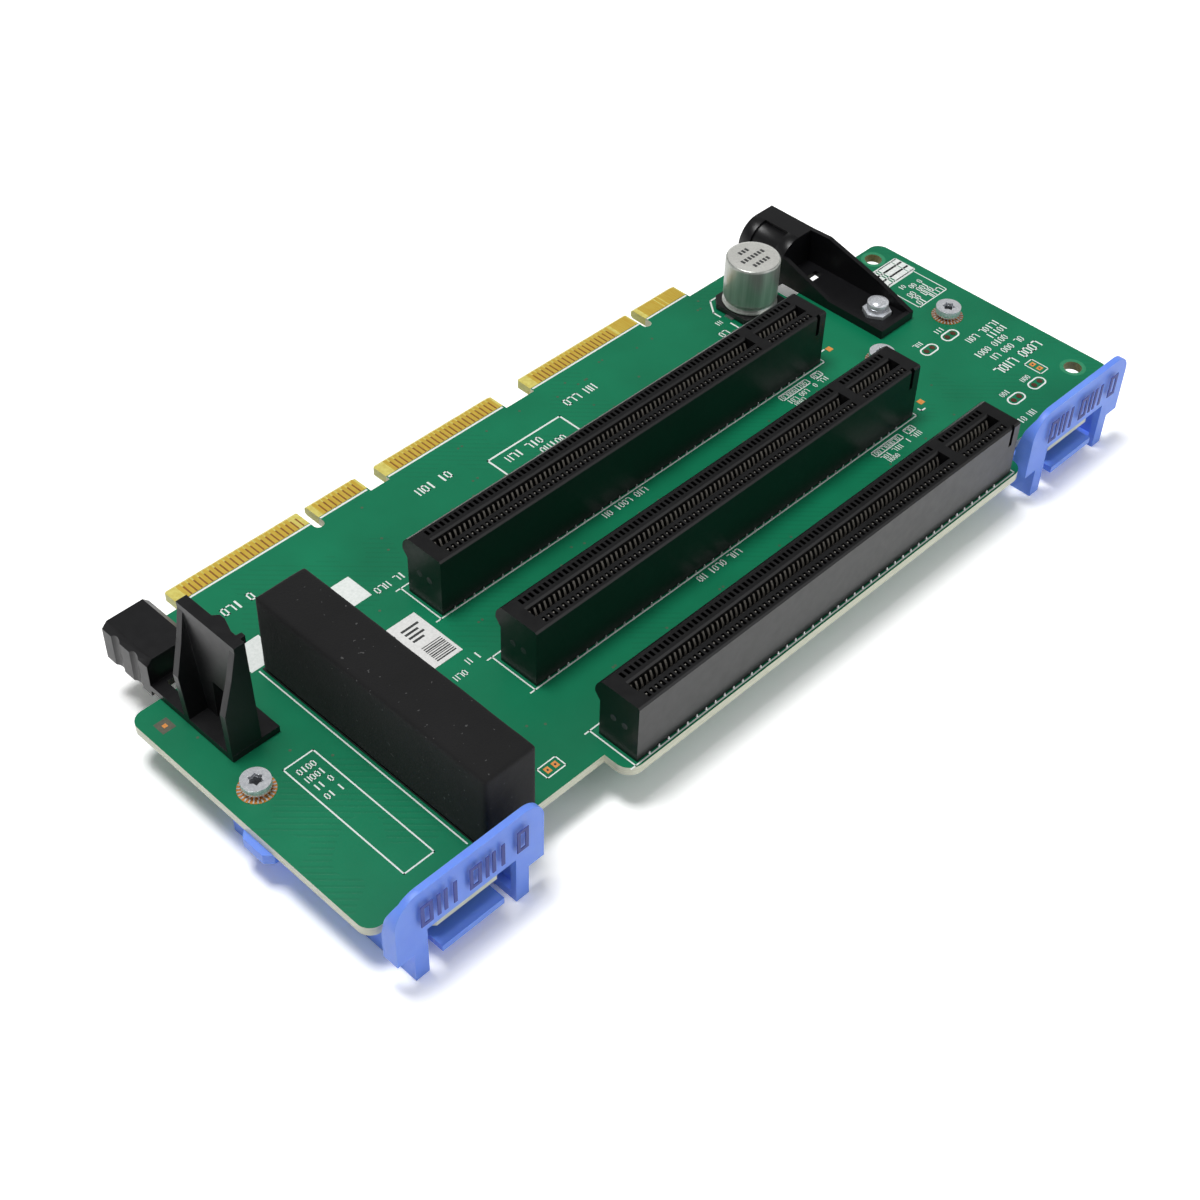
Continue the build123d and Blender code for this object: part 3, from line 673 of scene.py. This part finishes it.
def print_right_end(mesh):
    """A filled frame, an outlined frame, long rows, and the marks round the bare pads."""
    x0, x1, y0, y1 = 115.9, 123.0, -1.6, 2.9
    for y in (y0, y0 + 1.55, y0 + 3.1, y1):
        print_line(mesh, (x0, y), (x1, y), 0.45)
    for i in range(10):
        x = x0 + (x1 - x0) * i / 9
        wide = chance.choice((0.3, 0.6, 0.9))
        print_patch(mesh, x - wide / 2, x + wide / 2, y0, y1)
    print_box(mesh, 114.5, 122.6, -9.6, -1.9, thin_line)
    rows = ((116.5, 118.9, -3.6, 0.9), (118.2, 121.4, -4.6, 1.0), (115.9, 121.4, -6.1, 1.1),
            (115.7, 121.6, -7.4, 1.1), (115.4, 122.0, -8.7, 1.2))
    for left, right, y, height in rows:
        add_row(mesh, left, right, y, height, (2,))
    add_row(mesh, 112.8, 121.7, -21.8, 1.2, (3,))
    add_row(mesh, 116.6, 121.2, -23.6, 1.2)
    add_row(mesh, 110.4, 119.8, -25.5, 1.2, (4,))
    add_row(mesh, 112.1, 121.5, -27.8, 1.2, (2, 6))
    add_row(mesh, 109.5, 122.3, -30.7, 1.7, (4,))
    add_row(mesh, 101.2, 105.8, -41.4, 1.1, (2,))
    for x, y in oval_places:
        inner, outer = (stadium_points(x, y, 1.7 + more, 0.85 + more) for more in (0.0, 0.3))
        add_band(mesh, inner, outer, 0.0, ink_top)
        add_row(mesh, x - 1.4, x + 1.0, y + 2.2, 0.9)
    print_box(mesh, 114.55, 116.75, -36.3, -32.7, thin_line)
    print_box(mesh, -11.1, -7.5, -41.5, -39.3, thin_line)
    for y in (-5.2, -27.6):
        print_line(mesh, (91.4, y - 0.4), (92.3, y - 0.4), 0.3)
        print_line(mesh, (91.4, y + 0.3), (91.4, y - 0.4), 0.3)


def add_print(mesh):
    """Every white line and row of marks, in the order of the random draws."""
    for part in (print_tab_roots, print_slots, print_behind_slots, print_left_end, print_right_end):
        part(mesh)


drawn_piece("silkscreen", white_ink, add_print)


# Small marks on the board

film = 0.012
via_radius = 0.24
via_height = 0.008
pad_top = 0.05
dash_width = 0.24
dash_top = 0.14
star_radii = (1.12, 0.8)
star_floor_bottom = 1.38
star_floor_top = 1.42
dimple_height = 5.5
dimple_offset = 1.1
square_pad_places = ((115.65, -33.7), (115.65, -35.2), (-10.05, -40.4), (-8.55, -40.4))


def add_finger_gaps(mesh):
    """Brown laminate between the gold fingers, on the top face, darkened further with painted shade from
    the fingers beside it.
    """
    spans = []
    for start, count in ((-25.0, 24), (1.75, 9), (16.9, 24), (49.6, 20)):
        spans += [(start + i - 0.29, start + i - 0.01) for i in range(1, count)]
    for x0, x1 in spans:
        add_rect(mesh, x0, x1, 22.5, 24.75, 0.0, film)


def add_hole_rings(mesh):
    """Thin, paler mask round the two end holes."""
    for x, y in end_hole_places:
        add_ring(mesh, x, y, end_hole_radius + 0.02, end_hole_radius + 0.7, 0.0, 0.015)


def add_hole_walls(mesh):
    """Bare plated wall of the two end holes."""
    for x, y in end_hole_places:
        add_ring(mesh, x, y, end_hole_radius - 0.015, end_hole_radius, board_bottom, 0.0)


def add_mark_square(mesh):
    """Bare square under the round mark at the left end."""
    add_rect(mesh, -44.45, -42.15, 2.55, 4.95, 0.0, film)


def add_vias(mesh):
    """Small plated holes under the mask, on both faces."""
    seen = [(-8.4, 8.8), (-6.1, -0.1), (-29.8, -17.2), (-33.5, -12.3), (-41.3, -1.3), (-6.4, -32.4),
            (-4.2, -34.0), (24.7, -10.4), (26.8, -11.2), (70.6, -11.7), (94.6, -32.5), (98.2, -24.9)]
    scatter = random.Random(3)
    rows = (4.2, 6.3, 9.1, 11.8, 17.6, 19.4, -12.3, -14.7, -33.0)
    for _ in range(70):
        seen.append((scatter.uniform(2, 88), scatter.choice(rows)))
    for x, y in seen:
        dot = circle_points(x, y, via_radius, via_radius, 10)
        add_prism(mesh, dot, 0.0, via_height)
        add_prism(mesh, dot, board_bottom - via_height, board_bottom)


def add_pad_dots(mesh):
    """Dark centre of each open square pad."""
    for x, y in square_pad_places:
        add_prism(mesh, circle_points(x, y, 0.2, 0.2, 10), pad_top, pad_top + 0.01)


def add_oval_pads(mesh):
    """Dull flux on the pads inside the printed ovals."""
    for x, y in oval_places:
        for dx in (-0.8, 0.8):
            add_prism(mesh, circle_points(x + dx, y, 0.52, 0.56, 14), pad_top - 0.01, pad_top + 0.012)


def add_ring_pads(mesh):
    """Copper ring round each handle screw."""
    for x in screw_xs:
        add_ring(mesh, x, screw_y, 1.47, 2.85, 0.0, pad_top)


def add_ring_dashes(mesh):
    """Two rows of short solder dashes all round each screw's copper ring."""
    for x in screw_xs:
        for count, inner, outer in ((26, 2.32, 2.7), (18, 1.72, 2.02)):
            starts, ends = (circle_points(x, screw_y, radius, radius, count) for radius in (inner, outer))
            for start, end in zip(starts, ends):
                add_stroke(mesh, start, end, dash_width, pad_top, dash_top)


def add_star_recess_shade(mesh):
    """Painted shade: a dark star laid on the floor of each handle screw's star recess, where shade falls.
    """
    for x in screw_xs:
        points = []
        for i in range(12):
            angle = i * math.tau / 12
            radius = star_radii[i % 2]
            points.append((x + radius * math.cos(angle), screw_y + radius * math.sin(angle)))
        add_prism(mesh, points, star_floor_bottom, star_floor_top)


def add_dimples(mesh):
    """Two shallow moulding marks on the left end of each slot housing, as thin discs whose paler grey is
    a painted highlight.
    """
    for k in range(3):
        for dy in (-dimple_offset, dimple_offset):
            y = dy - slot_width / 2 - k * slot_pitch
            loops = []
            for x, radius in ((-0.03, 0.5), (0.01, 0.6)):
                ring = circle_points(y, dimple_height, radius, radius, 16)
                loops.append([mesh.verts.new(at(x, py, pz)) for py, pz in ring])
            add_tube(mesh, loops)


def add_stud_dome(mesh):
    """The domed cap of the stud in the right guide."""
    profile = (
        (1.93, 2.2), (1.95, 2.5), (1.86, 2.85), (1.6, 3.15), (1.15, 3.36), (0.6, 3.46), (0.05, 3.5),
    )
    add_lathe(mesh, *stud_place, profile, 40)


def turned_pads():
    """The bare pads as packed, with the pair by the front notch turned to stand side by side."""
    data = nodes["component_pads"].data.copy()
    pads = new_object("bare_pads", data)
    middle = at(*turned_pair)
    for vertex in data.vertices:
        dx = vertex.co.x - middle.x
        dy = vertex.co.y - middle.y
        if math.hypot(dx, dy) < 2.0 * mm:
            vertex.co.x = middle.x - dy
            vertex.co.y = middle.y + dx
    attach(pads, "root")
    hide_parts("component_pads")


drawn_piece("finger_gaps", gap_laminate_shade, add_finger_gaps)
drawn_piece("hole_rings", ring_green, add_hole_rings)
drawn_piece("hole_walls", hole_olive, add_hole_walls)
drawn_piece("mark_square", bare_grey, add_mark_square)
drawn_piece("vias", via_brown, add_vias)
turned_pads()
drawn_piece("pad_dots", dark_ink, add_pad_dots)
drawn_piece("oval_pads", pad_brown, add_oval_pads)
drawn_piece("ring_pads", copper, add_ring_pads)
drawn_piece("ring_dashes", solder, add_ring_dashes)
drawn_piece("screw_recesses", recess_painted_shade, add_star_recess_shade)
drawn_piece("slot_dimples", dimple_highlight_grey, add_dimples)
drawn_piece("stud_dome", steel, add_stud_dome).data.shade_smooth()


# Front row of contact windows, cut into a copy of each slot housing

front_window = (-6.75, -5.65)
window_half = 0.275
window_depth = 2.0


def slot_body(k):
    """One slot housing as packed, with its front row of windows as well."""
    name = slot_names[k] + "_slot_housing"
    cutters = bmesh.new()
    front, rear = (y - k * slot_pitch for y in front_window)
    over = slot_top + 0.5
    for x in contact_xs:
        sides = []
        for side in (x - window_half, x + window_half):
            profile = ((front, slot_top), (rear, slot_top - window_depth), (rear, over), (front, over))
            sides.append([cutters.verts.new(at(side, y, z)) for y, z in profile])
        add_tube(cutters, sides)
    bmesh.ops.recalc_face_normals(cutters, faces=cutters.faces)
    cutter = new_object("window_cutter", mesh_data("window_cutter", cutters))

    body = new_object(slot_names[k] + "_slot_body", nodes[name].data.copy())
    add_weld(body)
    cut = body.modifiers.new("windows", "BOOLEAN")
    cut.operation = "DIFFERENCE"
    cut.solver = "EXACT"
    cut.object = cutter
    evaluated = body.evaluated_get(bpy.context.evaluated_depsgraph_get())
    body.data = bpy.data.meshes.new_from_object(evaluated)
    body.modifiers.clear()
    bpy.data.objects.remove(cutter)
    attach(body, "root")
    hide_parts(name)


for k in range(3):
    slot_body(k)


# Contact springs and solder points of the slots

spring_path = (
    (-2.78, 4.4), (-2.92, 5.6), (-3.18, 7.2), (-3.42, 8.5), (-3.36, 9.2), (-3.1, 9.75), (-2.9, 10.15),
)
spring_width = 0.32
spring_thickness = 0.16
smooth_degrees = 50
foot_profile = ((0.24, 0.0), (0.2, 0.08), (0.13, 0.2), (0.12, 0.34), (0.08, 0.42), (0.02, 0.45))
joint_profile = ((0.02, -2.5), (0.16, -2.45), (0.2, -2.25), (0.24, -2.0), (0.4, -1.75), (0.55, -1.6))


def contact_springs(k):
    """Two rows of bent springs in one slot's card gap, and the tips in its front windows."""
    mesh = bmesh.new()
    rear = [(y - k * slot_pitch, z) for y, z in spring_path]
    front = [(-slot_width - y - k * slot_pitch, z) for y, z in spring_path]
    tip_y = front_window[1] - 0.24 - k * slot_pitch
    for x in contact_xs:
        add_ribbon(mesh, rear, x, spring_width, spring_thickness)
        add_ribbon(mesh, front, x, spring_width, spring_thickness)
        add_rect(mesh, x - 0.24, x + 0.02, tip_y - 0.2, tip_y, 8.6, slot_top - 0.12)
    finish_piece(slot_names[k] + "_slot_contacts", mesh, spring_metal, smooth_degrees)


def solder_points(k):
    """Soldered feet beside one slot, and its soldered pins under the board."""
    mesh = bmesh.new()
    shift = -k * slot_pitch
    sides = 8
    for i in range(42):
        for y in (-7.62, 0.16):
            add_lathe(mesh, 2.5 + 2 * i, y + shift, foot_profile, sides)
    for i in range(41):
        for row, y in enumerate((-0.6, -2.6, -4.9, -6.9)):
            add_lathe(mesh, 3.0 + 2 * i + row % 2, y + shift, joint_profile, sides)
    finish_piece(slot_names[k] + "_slot_solder", mesh, solder, smooth_degrees)


for k in range(3):
    contact_springs(k)
    solder_points(k)


# Foam block: the CAD solid's place, rebuilt as a soft form with rounded edges

def soft_foam():
    """The foam block, with soft edges and a slightly uneven skin."""
    foam = new_object("foam_block", nodes["air_dam_foam"].data.copy())
    remesh = foam.modifiers.new("remesh", "REMESH")
    remesh.mode = "VOXEL"
    remesh.voxel_size = 0.4 * mm
    remesh.use_smooth_shade = True
    smooth = foam.modifiers.new("smooth", "SMOOTH")
    smooth.factor = 0.5
    smooth.iterations = 5
    wrinkle = bpy.data.textures.new("foam_wrinkle", "CLOUDS")
    wrinkle.noise_scale = 6.0 * mm
    sag = foam.modifiers.new("sag", "DISPLACE")
    sag.texture = wrinkle
    sag.texture_coords = "GLOBAL"
    sag.strength = 0.12 * mm
    sag.mid_level = 0.9
    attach(foam, "root")
    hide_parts("air_dam_foam")


soft_foam()


# Capacitor can with its rolled foot, crimp and coined top

can_bottom = 1.2
can_top = 10.6


def capacitor_shell():
    """The can, turned from one profile."""
    low = can_bottom
    high = can_top
    profile = [
        (4.6, low), (4.88, low + 0.06), (4.99, low + 0.2), (4.97, low + 0.36), (4.8, low + 0.55),
        (4.55, low + 0.85), (4.5, low + 1.05), (4.58, low + 1.3), (4.82, low + 1.6), (4.9, low + 1.85),
        (4.9, high - 0.5), (4.86, high - 0.3), (4.76, high - 0.13), (4.6, high - 0.03), (4.4, high),
        (4.1, high - 0.02), (3.95, high - 0.06), (1.0, high - 0.06),
    ]
    mesh = bmesh.new()
    add_lathe(mesh, *can_centre, profile, 72)
    can = finish_piece("capacitor_shell", mesh, can_metal, 60)
    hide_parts("capacitor_can")


def add_can_marks(mesh):
    """Plain bars on the can's top, in the place of its print."""
    x, y = can_centre
    low = can_top - 0.06
    top = can_top - 0.03
    width = 0.5
    half_length = 0.45
    for dy, x0, x1 in ((2.3, -1.2, 1.6), (0.2, -2.8, 2.9), (-1.9, -2.0, 2.2)):
        left = x + x0
        while left < x + x1 - 0.4:
            add_rect(mesh, left, left + width, y + dy - half_length, y + dy + half_length, low, top)
            left += 0.85


capacitor_shell()
drawn_piece("can_marks", dark_ink, add_can_marks)


# Plain marks on the two handles and on the label

def add_handle_marks(mesh):
    """One row of large plain bars and frames on each handle's front plate, in the place of its engraved
    lettering; their darker blue is painted shade in the engraving.
    """
    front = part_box("left_handle")[0][1]
    face = (front - drawing_zero.y) / mm

    def upright_rect(x0, x1, z0, z1):
        """A thin patch on the plate's face."""
        add_rect(mesh, x0, x1, face - 0.02, face + 0.1, z0, z1)

    low = 3.3
    high = 7.6
    stroke = 0.6
    step = 2.85
    for handle_x in (-32.85, 105.6):
        for i in range(7):
            x = handle_x - 9.4 + step * i
            upright_rect(x, x + stroke, low, high)
            if i % 3 == 0:
                right = x + 1.5
                upright_rect(x + stroke, right, low, low + stroke)
                upright_rect(x + stroke, right, high - stroke, high)
                upright_rect(right, right + stroke, low, high)
            elif i % 3 == 1:
                upright_rect(x + 1.2, x + 1.2 + stroke, low, high)


def add_label_print(mesh):
    """Plain bars on the label."""
    paper = 0.1
    ink = 0.11
    for i, width in enumerate((3.4, 2.6, 3.0, 2.2)):
        y = -6.0 - 0.9 * i
        for left in (-11.6, -7.0):
            add_rect(mesh, left, left + width, y - 0.22, y + 0.22, paper, ink)
    for i in range(9):
        y = -10.6 - 0.42 * i
        add_rect(mesh, -7.0, -3.2, y - 0.08 - 0.05 * (i % 3), y + 0.08, paper, ink)


drawn_piece("handle_marks", engraving_shade_plastic, add_handle_marks)
drawn_piece("label_print", dark_ink, add_label_print)


# Floor, light and camera

def white_floor():
    """A plain pale floor that holds the card's shadow and turns to even white further out."""
    half = 3.0
    mesh = bmesh.new()
    mesh.faces.new([mesh.verts.new((x, y, 0.0)) for x, y in frame_points(-half, half, -half, half)])
    floor = new_object("floor", mesh_data("floor", mesh))
    surface = Surface("floor_white", 0.9)
    surface.colour(surface.noise_grey(3.0, 0.88, 0.9))
    surface.shader.inputs["Specular IOR Level"].default_value = 0.1
    surface.show_white(white=1.35, near=0.2, far=0.45)
    floor.data.materials.append(surface.material)


def studio_world():
    """Soft light from all sides; the camera sees white, and mirrors see it darken overhead."""
    world = bpy.data.worlds.new("studio")
    world.use_nodes = True
    tree = world.node_tree
    link = tree.links.new
    light_sky = tree.nodes["Background"]
    white_sky = tree.nodes.new("ShaderNodeBackground")
    for sky in (light_sky, white_sky):
        sky.inputs["Color"].default_value = (1.0, 1.0, 1.0, 1.0)
    light_sky.inputs["Strength"].default_value = 0.34
    direction = tree.nodes.new("ShaderNodeTexCoord")
    parts = tree.nodes.new("ShaderNodeSeparateXYZ")
    overhead = tree.nodes.new("ShaderNodeMapRange")
    limits = {"From Min": 0.15, "From Max": 0.5, "To Min": 0.8, "To Max": 0.16}
    for name, value in limits.items():
        overhead.inputs[name].default_value = value
    link(direction.outputs["Generated"], parts.inputs[0])
    link(parts.outputs[2], overhead.inputs["Value"])
    rays = tree.nodes.new("ShaderNodeLightPath")
    strength = tree.nodes.new("ShaderNodeMath")
    strength.operation = "MAXIMUM"
    link(overhead.outputs["Result"], strength.inputs[0])
    link(rays.outputs["Is Camera Ray"], strength.inputs[1])
    link(strength.outputs[0], white_sky.inputs["Strength"])
    pick = tree.nodes.new("ShaderNodeMixShader")
    link(seen_directly(tree), pick.inputs["Fac"])
    link(light_sky.outputs["Background"], pick.inputs[1])
    link(white_sky.outputs["Background"], pick.inputs[2])
    link(pick.outputs["Shader"], tree.nodes["World Output"].inputs["Surface"])
    bpy.context.scene.world = world


def soft_light(name, place, size, watts):
    """A square studio light that looks at the middle of the card."""
    data = bpy.data.lights.new(name, "AREA")
    data.shape = "SQUARE"
    data.size = size
    data.energy = watts
    light = new_object(name, data)
    light.location = place
    aim = Vector((0.0, 0.0, 0.01)) - Vector(place)
    light.rotation_euler = aim.to_track_quat("-Z", "Y").to_euler()


def photo_camera():
    """The camera at the photograph's angle, from a fit to the corners of the three slots."""
    azimuth, elevation, roll = (math.radians(angle) for angle in (46.987, 44.812, 1.959))
    data = bpy.data.cameras.new("camera")
    data.lens = 59.548
    data.sensor_width = 36.0
    data.clip_start = 0.01
    data.clip_end = 20.0
    camera = new_object("camera", data)
    level = math.cos(elevation)
    forward = Vector((math.sin(azimuth) * level, math.cos(azimuth) * level, -math.sin(elevation)))
    turn = forward.to_track_quat("-Z", "Y").to_matrix().to_4x4() @ Matrix.Rotation(roll, 4, "Z")
    place = at(-137.996, -168.712, 213.981)
    camera.matrix_world = Matrix.Translation(place) @ turn
    bpy.context.scene.camera = camera


white_floor()
studio_world()
soft_light("key_light", (-0.1, 0.14, 0.95), 0.3, 5.9)
soft_light("front_light", (0.3, -0.8, 0.55), 0.8, 2.0)
photo_camera()
bpy.context.scene.view_settings.view_transform = "Standard"
